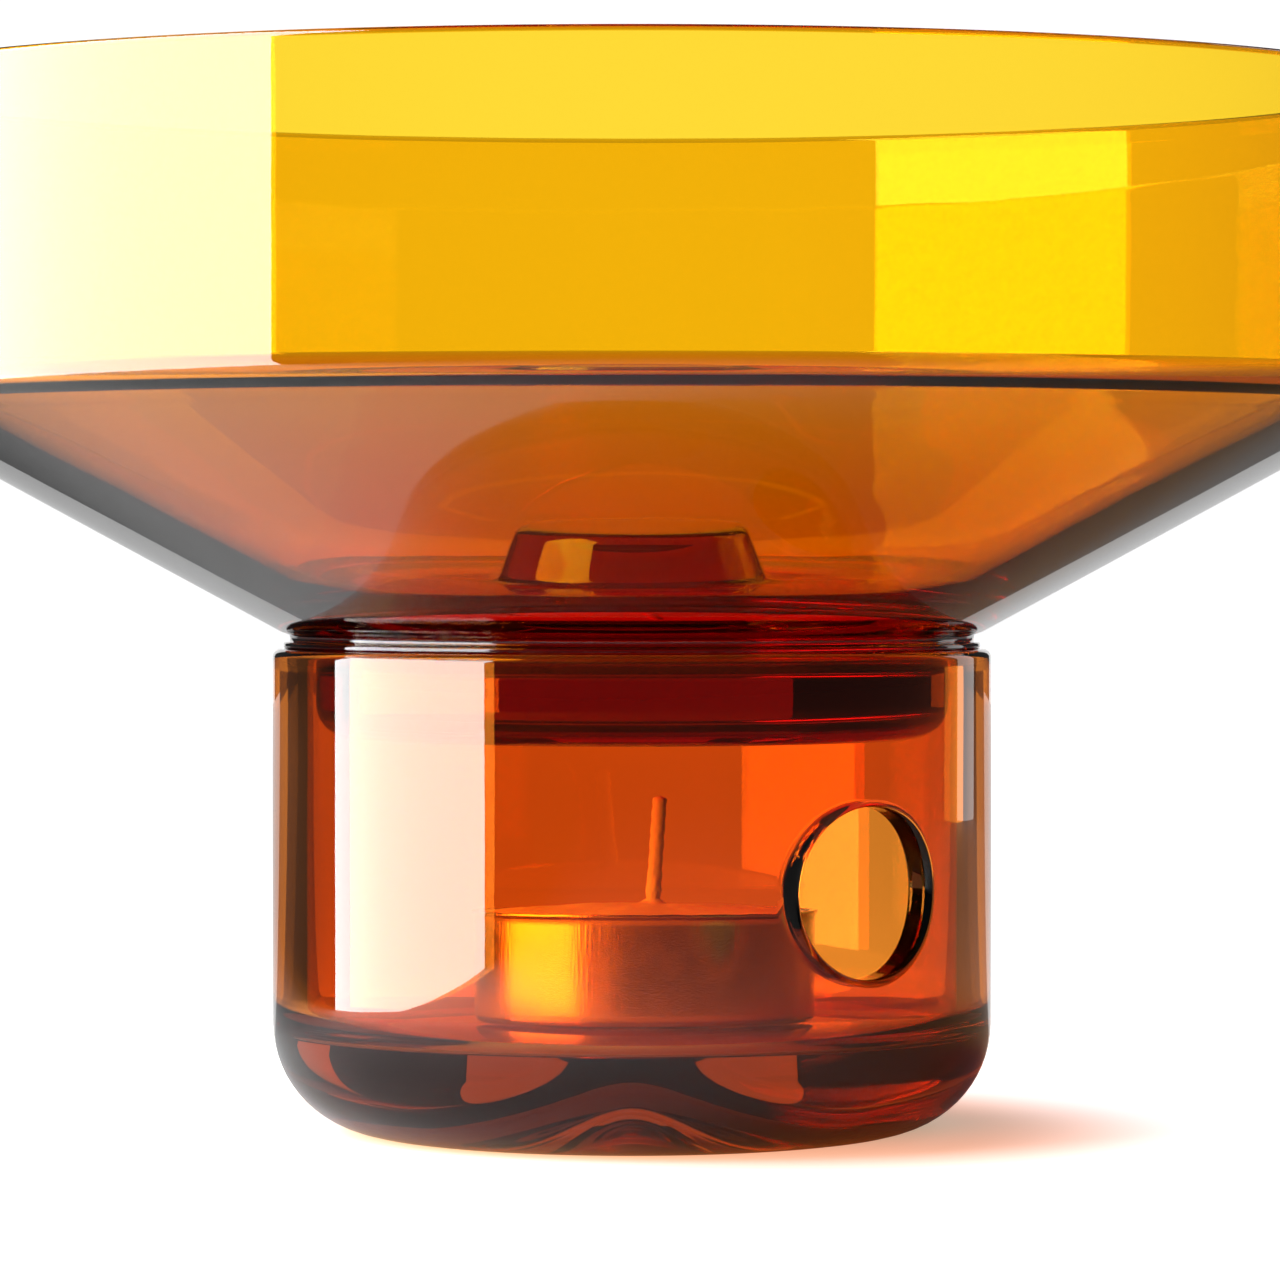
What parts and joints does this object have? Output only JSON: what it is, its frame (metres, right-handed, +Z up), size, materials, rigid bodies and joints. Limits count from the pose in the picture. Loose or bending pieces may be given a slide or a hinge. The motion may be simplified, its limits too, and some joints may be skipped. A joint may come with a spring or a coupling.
{
  "type": "tealight holder",
  "caption": "Amber glass tealight holder: a wide glass bowl whose solid plug sits in the mouth of a thick-footed glass cup with a round air hole, over a tealight candle.",
  "frame": {"origin": "centre of the ring that the cup stands on, on the standing surface", "axes": "+Z up along the axis of the cup and bowl; the cup's air hole faces -Y"},
  "size_m": [0.1744, 0.1744, 0.116],
  "materials": {
    "cup_glass": "clear amber, fire-polished",
    "bowl_glass": "clear amber, fire-polished",
    "candle_foil": "bright drawn foil with fine upright creases",
    "candle_wax": "white paraffin wax, slightly translucent",
    "candle_wick": "braided cotton dipped in wax",
    "wick_foot": "tin-plated pressing"
  },
  "bodies": {
    "cup": {"glass_cup": "cup_glass"},
    "bowl": {"glass_bowl": "bowl_glass"},
    "candle": {"tealight_cup": "candle_foil", "wax": "candle_wax", "wick": "candle_wick", "wick_sustainer": "wick_foot"}
  },
  "joints": [
    {"name": "bowl_lift", "type": "slide", "parent": "cup", "child": "bowl", "axis": [0, 0, 1], "range_m": [0, 0.09]},
    {"name": "candle_lift", "type": "slide", "parent": "cup", "child": "candle", "axis": [0, 0, 1], "range_m": [0, 0.045]}
  ],
  "couplings": [
    {"joint": "candle_lift", "follows": "bowl_lift", "ratio": 0.5}
  ]
}
